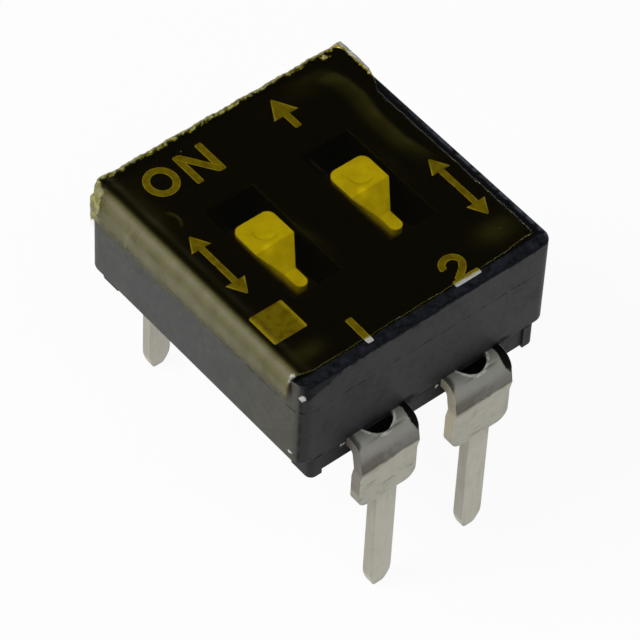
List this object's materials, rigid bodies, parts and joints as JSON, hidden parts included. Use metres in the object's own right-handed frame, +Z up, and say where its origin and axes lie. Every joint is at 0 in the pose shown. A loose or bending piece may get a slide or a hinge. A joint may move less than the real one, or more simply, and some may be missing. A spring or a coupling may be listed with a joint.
{
  "type": "dip switch",
  "caption": "Low black slide switch block for circuit boards, with side-by-side white sliders in deep windows, an amber seal film over the top and flat shouldered pins.",
  "frame": {"origin": "centre of the pin pattern, in the plane of the board's upper face, where the lead shoulders rest", "axes": "+X along the row of sliders, from slider 1 to slider 2; +Y across the row towards the ON side; +Z up, out of the board"},
  "size_m": [0.0067, 0.008, 0.0076],
  "materials": {
    "cover_plastic": "moulded black, satin",
    "base_plastic": "moulded black, dull",
    "lead_metal": "dull tin plating over copper alloy",
    "slider_plastic": "moulded white, satin",
    "contact_metal": "gold plating over copper alloy, smooth",
    "amber_film": "clear amber film, glossy"
  },
  "bodies": {
    "housing": {"cover": "cover_plastic", "base": "base_plastic", "terminal_1": "lead_metal", "terminal_2": "lead_metal", "terminal_3": "lead_metal", "terminal_4": "lead_metal", "seal_film": "amber_film"},
    "switch_1": {"slider_1": "slider_plastic", "contact_spring_1": "contact_metal"},
    "switch_2": {"slider_2": "slider_plastic", "contact_spring_2": "contact_metal"}
  },
  "joints": [
    {"name": "switch_1_travel", "type": "slide", "parent": "housing", "child": "switch_1", "axis": [0, -1, 0], "range_m": [0, 0.00068]},
    {"name": "switch_2_travel", "type": "slide", "parent": "housing", "child": "switch_2", "axis": [0, -1, 0], "range_m": [0, 0.00068]}
  ]
}
